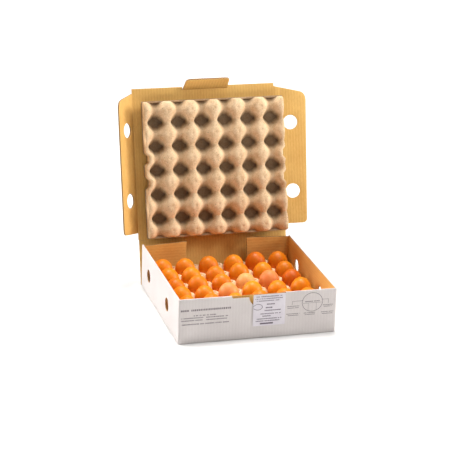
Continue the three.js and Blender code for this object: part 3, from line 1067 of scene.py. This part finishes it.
def flatRing(bm, x, z, wide, tall, line, start, end, y, thick, count=64):
    full = end - start >= 360
    rows = []
    for k in range(count + (0 if full else 1)):
        turn = math.radians(start + (end - start) * k / count)
        row = []
        for inset, depth in ((0, thick), (line, thick), (line, 0), (0, 0)):
            px = x + (wide / 2 - inset) * math.cos(turn)
            pz = z + (tall / 2 - inset) * math.sin(turn)
            row.append(bm.verts.new(Vector((px, y - depth, pz)) * mm))
        rows.append(row)
    pairs = list(zip(rows, rows[1:])) + ([(rows[-1], rows[0])] if full else [])
    for near, far in pairs:
        for i in range(4):
            bm.faces.new([near[i - 1], near[i], far[i], far[i - 1]])
    if not full:
        bm.faces.new(rows[0])
        bm.faces.new(rows[-1][::-1])


# lines: x from, x to, middle height and bar height; bars: x from, x to, low and high; rings: x and height of
# the middle, width, height, width of the line, and where it starts and ends in degrees; all in millimetres
wallLines = [
    (-152.5, -55, 68.0, 3.7), (-127.5, -84, 56.8, 2.2), (-151.5, -107, 52.4, 2.0), (-103, -58.5, 52.2, 2.0),
    (-151.5, -110, 47.4, 2.0), (-103, -62, 47.2, 2.0), (-152.5, -58.5, 39.6, 2.3), (93, 122, 68.0, 1.9),
    (57, 81, 60.6, 1.5), (58, 80, 57.0, 1.5), (56, 83, 45.0, 1.5), (59, 80, 41.6, 1.5), (91, 115, 44.6, 1.5),
    (93, 113, 41.2, 1.5), (129, 149, 58.6, 1.5), (131, 147, 55.4, 1.5), (126, 151, 44.2, 1.5),
    (128, 149, 40.6, 1.5),
]
sealLines = [
    (-5, 46, 85.4, 1.6), (-7, 47, 81.0, 1.6), (-4, 42, 76.6, 1.6), (16, 32, 69.4, 2.4), (14, 27, 62.4, 2.4),
    (12, 44, 56.6, 2.0), (2, 44, 50.0, 1.8), (8, 24, 45.2, 2.0), (-3, 46, 39.8, 1.8), (-5, 42, 35.4, 1.8),
]
wallBars = [
    (67, 88.6, 70.2, 70.8), (67, 67.6, 63.5, 70.1), (126.4, 140.3, 70.2, 70.8), (139.7, 140.3, 62, 70.1),
    (88.9, 126.1, 64.6, 65.1), (99, 99.5, 49.6, 64.6), (115.5, 116, 49.6, 64.6),
]
sealBars = [(3.5, 29.5, 28.6, 31.6)]
wallRings = [(107.5, 66.5, 42, 39, 0.9, 0, 360)]
sealRings = [(-1.5, 64.5, 18.5, 12.5, 0.9, -160, 170)]
# barWide and gap are shares of a line's height, and the two prints stand this far in front of the middle
printLook = {"thick": 0.06, "barWide": 0.95, "gap": 0.28, "seed": 3, "wallOff": 156.02, "sealOff": 156.72}
sealSize = {"left": -11.0, "right": 53.0, "low": 25.5, "high": 90.0, "off": 156.38, "thick": 0.16,
            "corner": 1.6, "edgeLift": 0.12, "liftReach": 8.0, "ripple": 0.1, "rippleLong": 16.0}


def buildSeal():
    size = sealSize
    left, right, low, high, bend = (size[k] for k in ("left", "right", "low", "high", "corner"))

    def place(a, b, d):  # its left edge is lifting
        wave = noise.noise(Vector((a / size["rippleLong"], b / size["rippleLong"], 2)))
        lifted = size["edgeLift"] * (1 - min(1, (a - left) / size["liftReach"])) + size["ripple"] * wave
        return Vector((a, -size["off"] - lifted - d, b)) * mm

    outline = corner((left, low + bend), (left, low), (left + bend, low), 4)
    outline += corner((right - bend, low), (right, low), (right, low + bend), 4)
    outline += corner((right, high - bend), (right, high), (right - bend, high), 4)
    outline += corner((left + bend, high), (left, high), (left, high - bend), 4)
    mesh = boardMesh("paperSeal", outline, [], place, step=4.0, rim=lambda a, b: (0.02, 0.02),
                     rimFinish=lambda a, b: 1, thick=size["thick"])
    mesh.materials[0] = mesh.materials[1] = sealFace
    addPiece("paperSeal", mesh, "base", ["front_seal"])


def buildPrint(name, off, material, lines, solidBars, rings):
    tree, bm = barTree(), bmesh.new()
    look, thick = printLook, printLook["thick"]
    for seed, (x0, x1, z, tall) in enumerate(lines):
        bars = int((x1 - x0) / (look["barWide"] * tall))
        grown = grow(tree, {"Length": x1 - x0, "Tall": tall, "Bars": bars, "Gap": look["gap"] * tall,
                            "Thick": thick, "Seed": seed + look["seed"], "Material": material})
        grown.transform(Matrix.Scale(mm, 4) @ Matrix.Translation((x0, -off - thick / 2, z)))
        bm.from_mesh(grown)
        bpy.data.meshes.remove(grown)
    for shape in rings:
        flatRing(bm, *shape, -off, thick)
    for shape in solidBars:
        flatBar(bm, *shape, -off, thick)
    mend(bm)
    for face in bm.faces:
        face.material_index = 0
    addPiece(name, toMesh(bm, name, material), "base")


buildSeal()
buildPrint("frontPrint", printLook["wallOff"], ink, wallLines, wallBars, wallRings)
buildPrint("sealPrint", printLook["sealOff"], sealInk, sealLines, sealBars, sealRings)
print("seal and print built")

# camera, light and floor
cameraPlace = {
    "spot": (-0.9390, -3.1576, 1.3583),
    "yaw": 16.15,
    "pitch": 19.8,
    "roll": 1.82,
    "lens": 142.17,
    "sensor": 36.0,
}


def aimCamera():
    yaw, pitch, roll = (math.radians(cameraPlace[k]) for k in ("yaw", "pitch", "roll"))
    ahead = Vector((math.sin(yaw) * math.cos(pitch), math.cos(yaw) * math.cos(pitch), -math.sin(pitch)))
    right = Vector((math.cos(yaw), -math.sin(yaw), 0))
    up = right.cross(ahead)
    across = math.cos(roll) * right + math.sin(roll) * up
    upwards = -math.sin(roll) * right + math.cos(roll) * up
    data = bpy.data.cameras.new("camera")
    data.sensor_width, data.lens = cameraPlace["sensor"], cameraPlace["lens"]
    data.clip_start, data.clip_end = 0.1, 100
    camera = newObject("camera", data)
    turned = Matrix((across, upwards, -ahead)).transposed().to_4x4()
    camera.matrix_world = Matrix.Translation(cameraPlace["spot"]) @ turned
    bpy.context.scene.camera = camera


# far lights: turn from the front towards the left, height, strength and softness, with angles in degrees
farLights = {
    "overheadLight": (180, 78, 3.0, 25),
    "leftLight": (122, 22, 2.8, 35),
    "rightLight": (285, 21, 2.0, 25),
}
# near light: spot and size in metres, then watts
nearLights = {
    "lidLight": ((0.35, -0.25, 0.9), 0.3, 2.6),
}
studioLook = {
    "lightColour": (1.0, 0.985, 0.96),
    "airLight": 0.08,
    "floorGrey": 0.86,
    "floorReach": 30,
    "floorBelow": 0.0002,
    "lightsAimAt": (0, 0.18, 0.22),
}


def addLight(name, kind, energy, towards):
    data = bpy.data.lights.new(name, kind)
    data.energy = energy
    data.color = studioLook["lightColour"]
    lamp = newObject(name, data)
    lamp.rotation_euler = towards.to_track_quat("Z", "Y").to_euler()
    return data, lamp


def setLights():
    for name, (turn, height, strength, softness) in farLights.items():
        turn, height = math.radians(turn), math.radians(height)
        level = math.cos(height)
        towards = Vector((-math.sin(turn) * level, -math.cos(turn) * level, math.sin(height)))
        addLight(name, "SUN", strength, towards)[0].angle = math.radians(softness)
    for name, (spot, size, power) in nearLights.items():
        data, lamp = addLight(name, "AREA", power, Vector(spot) - Vector(studioLook["lightsAimAt"]))
        data.size = size
        lamp.location = spot
    world = bpy.data.worlds.new("studio")
    world.use_nodes = True
    background = world.node_tree.nodes["Background"]
    setInputs(background, {0: (*studioLook["lightColour"], 1), 1: studioLook["airLight"]})
    bpy.context.scene.world = world
    bpy.context.scene.view_settings.view_transform = "Standard"


def layFloor():
    reach, z, grey = studioLook["floorReach"], -studioLook["floorBelow"], studioLook["floorGrey"]
    mesh = bpy.data.meshes.new("floor")
    corners = [(-reach, -reach, z), (reach, -reach, z), (reach, reach, z), (-reach, reach, z)]
    mesh.from_pydata(corners, [], [(0, 1, 2, 3)])
    material, _, shader, _ = newMaterial("paleFloor")
    setSurface(shader, (grey, grey, grey, 1), 0.9, 0.1)
    mesh.materials.append(material)
    newObject("floor", mesh)


aimCamera()
setLights()
layFloor()

print("scene ready")
